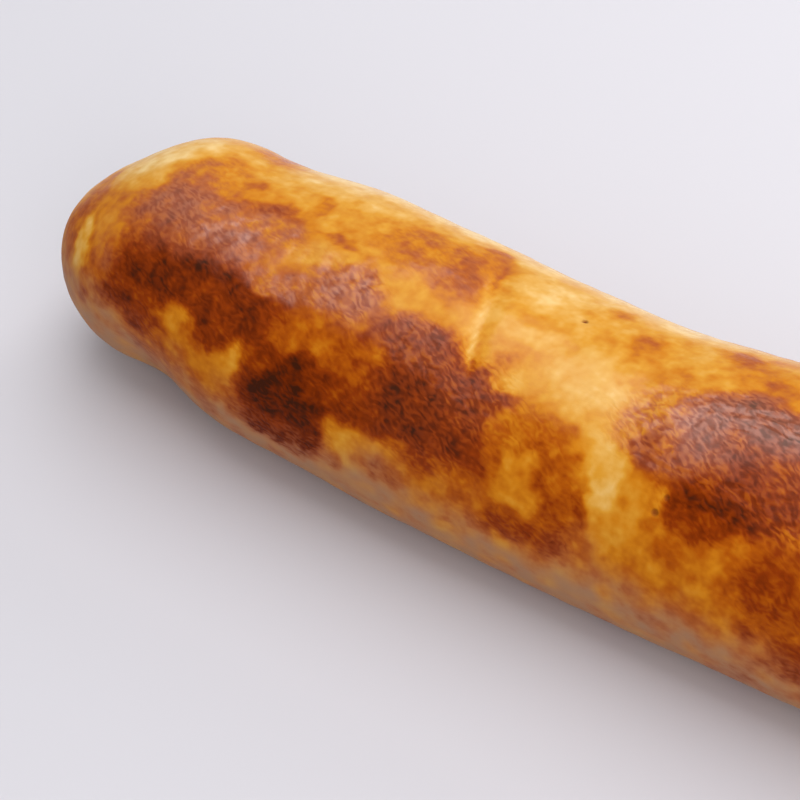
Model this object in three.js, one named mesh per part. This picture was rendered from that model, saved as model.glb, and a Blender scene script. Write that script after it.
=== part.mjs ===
// A long stuffed dough roll, folded shut round its filling and baked golden brown.
//
// The roll is one closed body that lies along X on its settled underside. Its left end
// points to -X and its right end to +X, the side with the drawn-in left end faces -Y, and the
// browned top faces +Z. Lengths are in millimetres. The origin is in the middle of the roll's
// outline, on the surface that it rests on.
//
// A place on the skin is named by two numbers: along, the millimetres from the left tip, and
// around, the degrees from the crown line, positive towards the -Y side.

import * as THREE from 'three';
import { mergeVertices } from 'three/addons/utils/BufferGeometryUtils.js';

// ---- Driving dimensions ----------------------------------------------------------------------

const LENGTH = 290; // from tip to tip, before the swells
const WIDTH = 69; // across the middle
const CROWN = 29; // from the centre line up to the crown
const KEEL = 31.8; // from the centre line down to the belly, before the roll settles flat
const CENTRE_HEIGHT = 27.5; // the centre line above the resting surface
const LEFT_CAP = 37; // length over which the left end closes
const RIGHT_CAP = 35; // length over which the right end closes
const CAP_POWER = 2.05; // 2 closes the ends as an ellipse, more makes them blunter
const SECTION_POWER = 2.15; // the same for the cross-section
const END_TAPER = 0.06; // share of the girth that is lost towards each tip
const SETTLE = 2; // height over which the flanks ease into the underside

// The flat spot that the roll stands on is a rectangle in the middle of the underside. The skin
// round it stays just clear of the surface.
const SPOT_LENGTH = 210; // limit of the rectangle's length, which ends on whole steps
const SPOT_WIDTH = 28;
const SPOT_STEPS = 3; // steps around from its middle line to its long edges
const CLEARANCE = 0.25;

const STATIONS = 84; // steps along the roll
const SIDES = 48; // steps around it

// Broad swells and hollows of the dough: where, how far they spread, and how high they stand.
const SWELLS = [
  // the left end, with its near side drawn in below a rounded lobe
  { along: 31, around: 118, length: 14, girth: 24, height: -7.2 },
  { along: 12, around: 105, length: 10, girth: 18, height: -0.8 },
  { along: 46, around: 120, length: 14, girth: 20, height: -2.2 },
  { along: 68, around: 128, length: 18, girth: 16, height: -1.4 },
  { along: 26, around: -40, length: 12, girth: 22, height: 1.2 },
  { along: 2, around: 50, length: 8, girth: 22, height: 1.8 },
  { along: 8, around: -35, length: 9, girth: 14, height: -1.0 },
  // the far flank and the waist past the middle
  { along: 40, around: -42, length: 16, girth: 26, height: -1.0 },
  { along: 66, around: -45, length: 14, girth: 26, height: 0.6 },
  { along: 84, around: -45, length: 16, girth: 26, height: 0.6 },
  { along: 140, around: -44, length: 26, girth: 30, height: -2.6 },
  { along: 186, around: -35, length: 16, girth: 34, height: 1.8 },
  // blisters that stand a little proud and have browned
  { along: 40, around: 30, length: 15, girth: 11, height: 0.7 },
  { along: 93, around: -8, length: 11, girth: 10, height: 0.8 },
  { along: 112, around: 46, length: 11, girth: 13, height: 0.9 },
  { along: 180, around: 22, length: 22, girth: 15, height: 1.0 },
  { along: 236, around: 40, length: 18, girth: 14, height: 0.9 },
  { along: 205, around: -70, length: 20, girth: 16, height: 0.8 },
  { along: 72, around: -88, length: 22, girth: 14, height: 0.8 },
  // shallow pale troughs between them
  { along: 151, around: 42, length: 8, girth: 30, height: -0.8 },
  { along: 128, around: 5, length: 12, girth: 16, height: -0.5 },
  { along: 214, around: 5, length: 8, girth: 34, height: -0.9 },
  // the far flank low down
  { along: 105, around: -112, length: 26, girth: 20, height: -1.6 },
  { along: 240, around: -100, length: 24, girth: 22, height: 0.9 },
  // the right end, closed like the left one with the hollow on its far side
  { along: 257, around: -116, length: 15, girth: 24, height: -5.2 },
  { along: 262, around: 50, length: 12, girth: 22, height: 0.9 },
  { along: 281, around: 95, length: 10, girth: 16, height: -1.4 },
  { along: 288, around: -40, length: 8, girth: 20, height: 1.4 },
];

// Creases that cross the roll: lean is millimetres along for each degree around, reach is the
// half-width of the arc in degrees.
const CREASES = [
  { along: 112, around: 3, lean: 0.14, reach: 48, width: 3.2, depth: 1.3 },
  { along: 217, around: -20, lean: -0.12, reach: 50, width: 3.6, depth: 1.1 },
];

// The slow unevenness of hand-filled dough: size of a lump, its height, and the random pattern.
const LUMPS = [
  { size: 46, height: 1.0, pattern: 3 },
  { size: 21, height: 0.35, pattern: 7 },
];

const CRUST_COLOUR = '#b86f2c';
const CRUST_ROUGHNESS = 0.42;

// ---- The random unevenness -------------------------------------------------------------------

const LATTICE_STRIDES = [127.1, 311.7, 74.7];
const PATTERN_STRIDE = 19.19;
const WAVE_HEIGHT = 43758.5453;
const NOISE_GAIN = 1.4; // brings the blended slopes to about -1 to 1

// Repeatable random number from 0 to 1 for a lattice point: the fractional part of a large sine.
function latticeRandom(place, pattern) {
  const phase = LATTICE_STRIDES.reduce((sum, stride, axis) => sum + stride * place[axis], 0);
  const wave = Math.sin(phase + pattern * PATTERN_STRIDE) * WAVE_HEIGHT;
  return wave - Math.floor(wave);
}

// Smooth noise from about -1 to 1. Each corner of the lattice cell holds a random gradient, and
// the eight slopes are blended with a fifth-degree ease.
function smoothNoise(point, pattern) {
  const corner = point.map(Math.floor);
  const inside = point.map((value, axis) => value - corner[axis]);
  const ease = inside.map((t) => t * t * t * (t * (t * 6 - 15) + 10));
  let total = 0;
  for (const dx of [0, 1]) {
    for (const dy of [0, 1]) {
      for (const dz of [0, 1]) {
        const step = [dx, dy, dz];
        const place = corner.map((value, axis) => value + step[axis]);
        let weight = 1;
        let slope = 0;
        for (let axis = 0; axis < 3; axis += 1) {
          const random = latticeRandom(place, pattern + axis + 1);
          weight *= step[axis] ? ease[axis] : 1 - ease[axis];
          slope += (random * 2 - 1) * (inside[axis] - step[axis]);
        }
        total += weight * slope;
      }
    }
  }
  return total * NOISE_GAIN;
}

// ---- The plain roll --------------------------------------------------------------------------

const CAP_ARC = 1.5; // length of a cap's curve for each millimetre of its depth
const LEFT_ARC = CAP_ARC * LEFT_CAP;
const RIGHT_ARC = CAP_ARC * RIGHT_CAP;
const STRAIGHT = LENGTH - LEFT_CAP - RIGHT_CAP;
const PATH = LEFT_ARC + STRAIGHT + RIGHT_ARC;

// The place along the axis and the share of full girth, for t from 0 at the left tip to 1 at the
// right one. Both ends are a quarter of a superellipse, and the stretch between is straight.
function meridian(t) {
  const power = 2 / CAP_POWER;
  const travelled = t * PATH;
  if (travelled < LEFT_ARC) {
    const angle = (travelled / LEFT_ARC) * (Math.PI / 2);
    const closing = LEFT_CAP * (1 - Math.cos(angle) ** power);
    return { x: -LENGTH / 2 + closing, share: Math.sin(angle) ** power };
  }
  if (travelled > LEFT_ARC + STRAIGHT) {
    const angle = (Math.max(PATH - travelled, 0) / RIGHT_ARC) * (Math.PI / 2);
    const closing = RIGHT_CAP * (1 - Math.cos(angle) ** power);
    return { x: LENGTH / 2 - closing, share: Math.sin(angle) ** power };
  }
  return { x: -LENGTH / 2 + LEFT_CAP + (travelled - LEFT_ARC), share: 1 };
}

// A point of the plain roll: a superellipse section, a little slimmer towards both tips.
function plainPoint(t, angle) {
  const power = 2 / SECTION_POWER;
  const { x, share } = meridian(t);
  const across = Math.sin(angle);
  const up = Math.cos(angle);
  const girth = share * (1 - END_TAPER * (x / (LENGTH / 2)) ** 2);
  return new THREE.Vector3(
    x,
    -(WIDTH / 2) * girth * Math.sign(across) * Math.abs(across) ** power,
    CENTRE_HEIGHT + (up > 0 ? CROWN : KEEL) * girth * Math.sign(up) * Math.abs(up) ** power,
  );
}

const SLOPE_STEP = 1e-3; // share of the path, and radians, between the points that give a slope

// The plain roll's outward direction, from the slopes along and around.
function plainNormal(t, angle) {
  if (t < SLOPE_STEP || t > 1 - SLOPE_STEP) {
    return new THREE.Vector3(t < 0.5 ? -1 : 1, 0, 0);
  }
  const middle = THREE.MathUtils.clamp(t, 2 * SLOPE_STEP, 1 - 2 * SLOPE_STEP);
  const ahead = plainPoint(middle + SLOPE_STEP, angle);
  const beside = plainPoint(middle, angle + SLOPE_STEP);
  const alongSlope = ahead.sub(plainPoint(middle - SLOPE_STEP, angle));
  const aroundSlope = beside.sub(plainPoint(middle, angle - SLOPE_STEP));
  return aroundSlope.cross(alongSlope).normalize();
}

const HALVINGS = 40;

// The path share at which the roll reaches a distance along its length, by halving.
function pathShareAt(along) {
  let low = 0;
  let high = 1;
  for (let turn = 0; turn < HALVINGS; turn += 1) {
    const middle = (low + high) / 2;
    if (meridian(middle).x + LENGTH / 2 < along) {
      low = middle;
    } else {
      high = middle;
    }
  }
  return (low + high) / 2;
}

// ---- The uneven skin -------------------------------------------------------------------------

const swellCentres = SWELLS.map((swell) => (
  plainPoint(pathShareAt(swell.along), THREE.MathUtils.degToRad(swell.around))
));

// How far the skin stands out from the plain roll at a point: bell-shaped swells, less the
// creases, plus the lumps.
function relief(point, angle) {
  let height = 0;
  SWELLS.forEach((swell, index) => {
    const centre = swellCentres[index];
    const alongShare = (point.x - centre.x) / swell.length;
    const acrossShare = Math.hypot(point.y - centre.y, point.z - centre.z) / swell.girth;
    height += swell.height * Math.exp(-(alongShare ** 2) - acrossShare ** 2);
  });
  for (const crease of CREASES) {
    const turned = THREE.MathUtils.radToDeg(angle) - crease.around;
    const degrees = THREE.MathUtils.euclideanModulo(turned + 180, 360) - 180;
    const line = crease.along - LENGTH / 2 + crease.lean * degrees;
    const acrossShare = (point.x - line) / crease.width;
    height -= crease.depth * Math.exp(-(acrossShare ** 2) - (degrees / crease.reach) ** 4);
  }
  for (const lump of LUMPS) {
    const place = [point.x / lump.size, point.y / lump.size, point.z / lump.size];
    height += lump.height * smoothNoise(place, lump.pattern);
  }
  return height;
}

// Height after settling: nothing reaches below the resting surface, and the flank eases into it
// along a parabola.
function settled(height) {
  if (height > SETTLE) {
    return height;
  }
  return height < -SETTLE ? 0 : (height + SETTLE) ** 2 / (4 * SETTLE);
}

function skinPoint(t, angle) {
  const point = plainPoint(t, angle);
  point.addScaledVector(plainNormal(t, angle), relief(point, angle));
  point.z = Math.max(settled(point.z), CLEARANCE);
  return point;
}

// Whether a point of the net, counted in steps along and around, belongs to the flat spot.
function isOnSpot(t, stepsFromBelly) {
  return Math.abs(meridian(t).x) < SPOT_LENGTH / 2 && Math.abs(stepsFromBelly) <= SPOT_STEPS;
}

// A point of the flat spot, on the straight lines that make its rectangle.
function spotPoint(t, stepsFromBelly) {
  return new THREE.Vector3(meridian(t).x, (SPOT_WIDTH / 2) * (stepsFromBelly / SPOT_STEPS), 0);
}

// ---- The piece -------------------------------------------------------------------------------

const TIP_SHARE = 1e-6; // path share within which a point is a tip
const MERGE_WITHIN = 1e-3; // millimetres between points that are one

// A unit ball's net carries the skin: its rows become the stations along the roll and its columns
// the lines around it, so both tips close without a hole.
function rollGeometry() {
  const geometry = new THREE.SphereGeometry(1, SIDES, STATIONS);
  const position = geometry.getAttribute('position');
  const net = geometry.getAttribute('uv');
  for (let index = 0; index < position.count; index += 1) {
    const t = net.getY(index);
    const atTip = t < TIP_SHARE || t > 1 - TIP_SHARE;
    const angle = atTip ? 0 : net.getX(index) * 2 * Math.PI;
    const stepsFromBelly = Math.round(net.getX(index) * SIDES - SIDES / 2);
    const point = isOnSpot(t, stepsFromBelly) ? spotPoint(t, stepsFromBelly) : skinPoint(t, angle);
    position.setXYZ(index, point.x, point.y, point.z);
  }
  geometry.deleteAttribute('normal');
  geometry.deleteAttribute('uv');
  const closed = mergeVertices(geometry, MERGE_WITHIN);
  closed.computeBoundingBox();
  const middle = closed.boundingBox.getCenter(new THREE.Vector3());
  closed.translate(-middle.x, -middle.y, -closed.boundingBox.min.z);
  closed.computeVertexNormals();
  return closed;
}

function buildRoll() {
  const crust = new THREE.MeshStandardMaterial({
    color: CRUST_COLOUR,
    roughness: CRUST_ROUGHNESS,
    metalness: 0,
  });
  const roll = new THREE.Mesh(rollGeometry(), crust);
  roll.name = 'baked_roll';
  return roll;
}

const feteer = new THREE.Group();
feteer.add(buildRoll());

export default feteer;
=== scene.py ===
"""A long stuffed dough roll, baked golden brown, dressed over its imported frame.

The skin is one closed surface worked out with numpy. A place on it is named by two numbers, as in
the part's source: along, the millimetres from the left tip, and around, the degrees from the crown
line, positive towards the -Y side. The form is worked out in millimetres and laid in metres on the
packed roll. The browning is painted on the skin's points as smooth fields, and the material adds
what is finer than a millimetre.
"""
import logging
import math
from dataclasses import dataclass, field
from enum import Enum

import bpy
import numpy as np
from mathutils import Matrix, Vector


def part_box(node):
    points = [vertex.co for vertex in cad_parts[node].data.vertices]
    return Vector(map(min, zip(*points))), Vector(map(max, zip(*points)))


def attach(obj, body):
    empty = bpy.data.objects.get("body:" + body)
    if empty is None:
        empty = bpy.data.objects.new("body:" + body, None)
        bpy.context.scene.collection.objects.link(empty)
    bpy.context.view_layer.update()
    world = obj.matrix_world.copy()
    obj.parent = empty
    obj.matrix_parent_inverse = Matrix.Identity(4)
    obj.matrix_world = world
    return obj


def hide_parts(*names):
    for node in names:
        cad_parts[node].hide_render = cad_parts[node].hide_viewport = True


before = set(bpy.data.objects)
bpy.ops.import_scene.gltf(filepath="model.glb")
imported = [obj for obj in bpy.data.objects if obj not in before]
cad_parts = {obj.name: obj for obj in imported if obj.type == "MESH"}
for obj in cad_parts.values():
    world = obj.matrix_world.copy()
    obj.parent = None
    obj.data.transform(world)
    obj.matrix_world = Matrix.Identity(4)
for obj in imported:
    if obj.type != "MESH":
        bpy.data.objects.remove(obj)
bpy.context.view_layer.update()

log = logging.getLogger("stuffed_roll")

MM = 0.001  # metres in a millimetre
NODE = "baked_roll"

Array = np.ndarray
Colour = tuple[float, float, float]
Point = tuple[float, float, float]
Span = tuple[float, float]
Socket = bpy.types.NodeSocket


# ---- Smooth randomness -------------------------------------------------------------------------

LATTICE_STRIDES = (127.1, 311.7, 74.7)
PATTERN_STRIDE = 19.19
LAYER_STRIDE = 11  # between the patterns of two layers
WAVE_HEIGHT = 43758.5453
NOISE_GAIN = 1.4  # brings the blended slopes to about -1 to 1


def lattice_random(place: Array, pattern: float) -> Array:
    """Give each lattice point a repeatable number: the fractional part of a large sine.

    Args:
        place: whole-numbered lattice points, one row each.
        pattern: which random pattern to use.

    Returns:
        Numbers from 0 to 1.
    """
    wave = np.sin(place @ np.array(LATTICE_STRIDES) + pattern * PATTERN_STRIDE) * WAVE_HEIGHT
    return wave - np.floor(wave)


def smooth_noise(points: Array, pattern: float) -> Array:
    """Blend the eight random slopes at the corners of each point's cell by a fifth-degree ease.

    Args:
        points: places measured in lattice cells, one row each.
        pattern: which random pattern to use.

    Returns:
        Noise from about -1 to 1.
    """
    corner = np.floor(points)
    inside = points - corner
    ease = inside**3 * (inside * (inside * 6 - 15) + 10)
    total = np.zeros(len(points))
    for step in np.ndindex(2, 2, 2):
        offset = np.array(step, float)
        slopes = np.stack([lattice_random(corner + offset, pattern + axis + 1) for axis in range(3)], 1)
        weight = np.prod(np.where(offset > 0, ease, 1 - ease), axis=1)
        total += weight * ((slopes * 2 - 1) * (inside - offset)).sum(axis=1)
    return total * NOISE_GAIN


def layered_noise(points: Array, size: float, layers: int, pattern: float) -> Array:
    """Add noise of a size to noise of half that size at half the height, and so on.

    Args:
        points: places in millimetres.
        size: the coarsest lump in millimetres.
        layers: how many sizes are added.
        pattern: which random pattern to use.

    Returns:
        Noise from about -1 to 1.
    """
    total = np.zeros(len(points))
    for layer in range(layers):
        total += smooth_noise(points * 2**layer / size, pattern + LAYER_STRIDE * layer) / 2**layer
    return total / (2 - 2 ** (1 - layers))


def ramp(values: Array, low: float, high: float) -> Array:
    """Rise smoothly from 0 at low to 1 at high, by the cubic 3x^2 - 2x^3."""
    share = np.clip((values - low) / (high - low), 0, 1)
    return share * share * (3 - 2 * share)


# ---- The form of the roll ----------------------------------------------------------------------


@dataclass(frozen=True)
class Swell:
    """A bell-shaped swell of the dough, or a hollow where the height is negative.

    The length and girth are the bell's half-sizes, all in millimetres.
    """

    along: float
    around: float
    length: float
    girth: float
    height: float


@dataclass(frozen=True)
class Crease:
    """A groove across the roll, leaning by millimetres along for each degree around.

    It reaches that many degrees to either side of its middle before it dies out.
    """

    along: float
    around: float
    lean: float
    reach: float
    width: float
    depth: float


@dataclass(frozen=True)
class Lump:
    """Slow unevenness: the size of a lump, its height and its random pattern."""

    size: float
    height: float
    pattern: int


SWELLS = (
    # the left end, with its near side drawn in below a rounded lobe
    Swell(31, 118, 14, 24, -7.2),
    Swell(12, 105, 10, 18, -0.8),
    Swell(46, 120, 14, 20, -2.2),
    Swell(68, 128, 18, 16, -1.4),
    Swell(26, -40, 12, 22, 1.2),
    Swell(2, 50, 8, 22, 1.8),
    Swell(8, -35, 9, 14, -1.0),
    # the far flank and the waist past the middle
    Swell(40, -42, 16, 26, -1.0),
    Swell(66, -45, 14, 26, 0.6),
    Swell(84, -45, 16, 26, 0.6),
    Swell(140, -44, 26, 30, -2.6),
    Swell(186, -35, 16, 34, 1.8),
    # blisters that stand a little proud and have browned
    Swell(40, 30, 15, 11, 0.7),
    Swell(93, -8, 11, 10, 0.8),
    Swell(112, 46, 11, 13, 0.9),
    Swell(180, 22, 22, 15, 1.0),
    Swell(236, 40, 18, 14, 0.9),
    Swell(205, -70, 20, 16, 0.8),
    Swell(72, -88, 22, 14, 0.8),
    # shallow pale troughs between them
    Swell(151, 42, 8, 30, -0.8),
    Swell(128, 5, 12, 16, -0.5),
    Swell(214, 5, 8, 34, -0.9),
    # the far flank low down
    Swell(105, -112, 26, 20, -1.6),
    Swell(240, -100, 24, 22, 0.9),
    # the right end, closed like the left one with the hollow on its far side
    Swell(257, -116, 15, 24, -5.2),
    Swell(262, 50, 12, 22, 0.9),
    Swell(281, 95, 10, 16, -1.4),
    Swell(288, -40, 8, 20, 1.4),
)

CREASES = (
    Crease(110.4, 3, 0.16, 38, 3.0, 0.75),
    Crease(217, -20, -0.12, 50, 3.6, 1.1),
)

LUMPS = (Lump(46, 1.0, 3), Lump(21, 0.35, 7))


@dataclass
class RollForm:
    """The roll's shape in millimetres: a superellipse section between two rounded ends.

    Both ends are a quarter of a superellipse, and the stretch between them is straight. The skin
    stands out from that plain roll by the swells and lumps, less the creases, and it settles flat
    on the surface below.
    """

    length: float = 290
    width: float = 69
    crown: float = 29
    keel: float = 31.8
    centre_height: float = 27.5
    left_cap: float = 37
    right_cap: float = 35
    cap_power: float = 2.05
    section_power: float = 2.15
    end_taper: float = 0.06
    settle: float = 2
    cap_arc: float = 1.5  # length of a cap's curve for each millimetre of its depth
    slope_step: float = 1e-3  # share of the path, and radians, from a point to its slope's ends
    path_steps: int = 4000  # in the table that turns a place along X into a share of the path

    def meridian(self, t: Array) -> tuple[Array, Array]:
        """Walk the roll's outline from tip to tip.

        In each cap, x closes as the cosine and the girth as the sine of the cap's angle, both
        raised to two over the cap's power.

        Args:
            t: share of the path, 0 at the left tip and 1 at the right one.

        Returns:
            The place along X, and the share of full girth there.
        """
        left_arc = self.cap_arc * self.left_cap
        right_arc = self.cap_arc * self.right_cap
        straight = self.length - self.left_cap - self.right_cap
        path = left_arc + straight + right_arc
        travelled = t * path
        power = 2 / self.cap_power
        left = np.clip(travelled / left_arc, 0, 1) * math.pi / 2
        right = np.clip((path - travelled) / right_arc, 0, 1) * math.pi / 2
        x = -self.length / 2 + self.left_cap + (travelled - left_arc)
        in_left = travelled < left_arc
        in_right = travelled > left_arc + straight
        closing_left = -self.length / 2 + self.left_cap * (1 - np.cos(left).clip(0) ** power)
        closing_right = self.length / 2 - self.right_cap * (1 - np.cos(right).clip(0) ** power)
        x = np.where(in_left, closing_left, np.where(in_right, closing_right, x))
        share = np.minimum(np.sin(left).clip(0) ** power, np.sin(right).clip(0) ** power)
        return x, share

    def plain(self, t: Array, angle: Array) -> Array:
        """Give points of the plain roll.

        Across and up are the sine and cosine of the angle, raised to two over the section's power
        with their signs kept, times the girth, which falls off with the square of the distance
        from the middle.

        Args:
            t: share of the path.
            angle: radians from the crown line.

        Returns:
            Points in millimetres, one row each.
        """
        x, share = self.meridian(t)
        power = 2 / self.section_power
        girth = share * (1 - self.end_taper * (x / (self.length / 2)) ** 2)
        across, up = np.sin(angle), np.cos(angle)
        y = -self.width / 2 * girth * np.sign(across) * np.abs(across) ** power
        reach = np.where(up > 0, self.crown, self.keel)
        z = self.centre_height + reach * girth * np.sign(up) * np.abs(up) ** power
        return np.stack([x, y, z], axis=1)

    def outward(self, t: Array, angle: Array) -> Array:
        """Give the plain roll's outward directions, from its slopes along and around.

        Args:
            t: share of the path.
            angle: radians from the crown line.

        Returns:
            Directions of length 1, one row each.
        """
        step = self.slope_step
        middle = np.clip(t, 2 * step, 1 - 2 * step)
        slope_along = self.plain(middle + step, angle) - self.plain(middle - step, angle)
        slope_around = self.plain(middle, angle + step) - self.plain(middle, angle - step)
        normal = np.cross(slope_around, slope_along)
        return normal / np.linalg.norm(normal, axis=1, keepdims=True)

    def place(self, along: float, around: float) -> tuple[Array, Array]:
        """Turn a named place into a share of the path, looked up in a table, and an angle.

        Args:
            along: millimetres from the left tip.
            around: degrees from the crown line.

        Returns:
            The share of the path and the radians, as arrays of one number.
        """
        path = np.linspace(0, 1, self.path_steps + 1)
        x, _ = self.meridian(path)
        return np.interp([along - self.length / 2], x, path), np.array([math.radians(around)])

    def spot(self, along: float, around: float) -> Array:
        """Give the plain roll's point at a named place."""
        return self.plain(*self.place(along, around))[0]

    def skin_spot(self, along: float, around: float) -> Array:
        """Give the uneven skin's point at a named place."""
        return self.skin(*self.place(along, around))[0]

    def relief(self, points: Array, angle: Array) -> Array:
        """Add up the bell-shaped swells and the lumps, less the grooves of the creases.

        Args:
            points: points of the plain roll.
            angle: their radians from the crown line.

        Returns:
            Heights above the plain roll in millimetres.
        """
        height = np.zeros(len(points))
        for swell in SWELLS:
            away = points - self.spot(swell.along, swell.around)
            across = np.hypot(away[:, 1], away[:, 2]) / swell.girth
            height += swell.height * np.exp(-((away[:, 0] / swell.length) ** 2) - across**2)
        for crease in CREASES:
            degrees = (np.degrees(angle) - crease.around + 180) % 360 - 180
            line = crease.along - self.length / 2 + crease.lean * degrees
            across = (points[:, 0] - line) / crease.width
            height -= crease.depth * np.exp(-(across**2) - (degrees / crease.reach) ** 4)
        for lump in LUMPS:
            height += lump.height * smooth_noise(points / lump.size, lump.pattern)
        return height

    def settled(self, height: Array) -> Array:
        """Ease heights into the resting surface along a parabola, and keep them above it."""
        eased = (height + self.settle) ** 2 / (4 * self.settle)
        return np.where(height > self.settle, height, np.where(height < -self.settle, 0, eased))

    def set_down(self, points: Array) -> Array:
        """Give the skin's points as they lie on the resting surface."""
        return np.column_stack([points[:, :2], self.settled(points[:, 2])])

    def skin(self, t: Array, angle: Array) -> Array:
        """Give the uneven skin's points, before it is laid on the surface."""
        points = self.plain(t, angle)
        return points + self.outward(t, angle) * self.relief(points, angle)[:, None]


# ---- How the crust browned ---------------------------------------------------------------------


@dataclass(frozen=True)
class Patch:
    """An oval stretch of skin baked to one level, from 0, pale dough, to 1, nearly black.

    The oval's half-length and half-girth are in millimetres, and turn is in degrees from the
    roll's length towards the -Y side. Soft is how far inwards and outwards its edge fades, as a
    share of its size. Crinkle and gloss, where they are given, say how wrinkled and how shiny the
    skin is there, and gloss also sets how much painted sheen its colour takes.
    """

    along: float
    around: float
    length: float
    girth: float
    bake: float
    turn: float = 0
    soft: float = 0.5
    crinkle: float | None = None
    gloss_and_sheen: float | None = None


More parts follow.
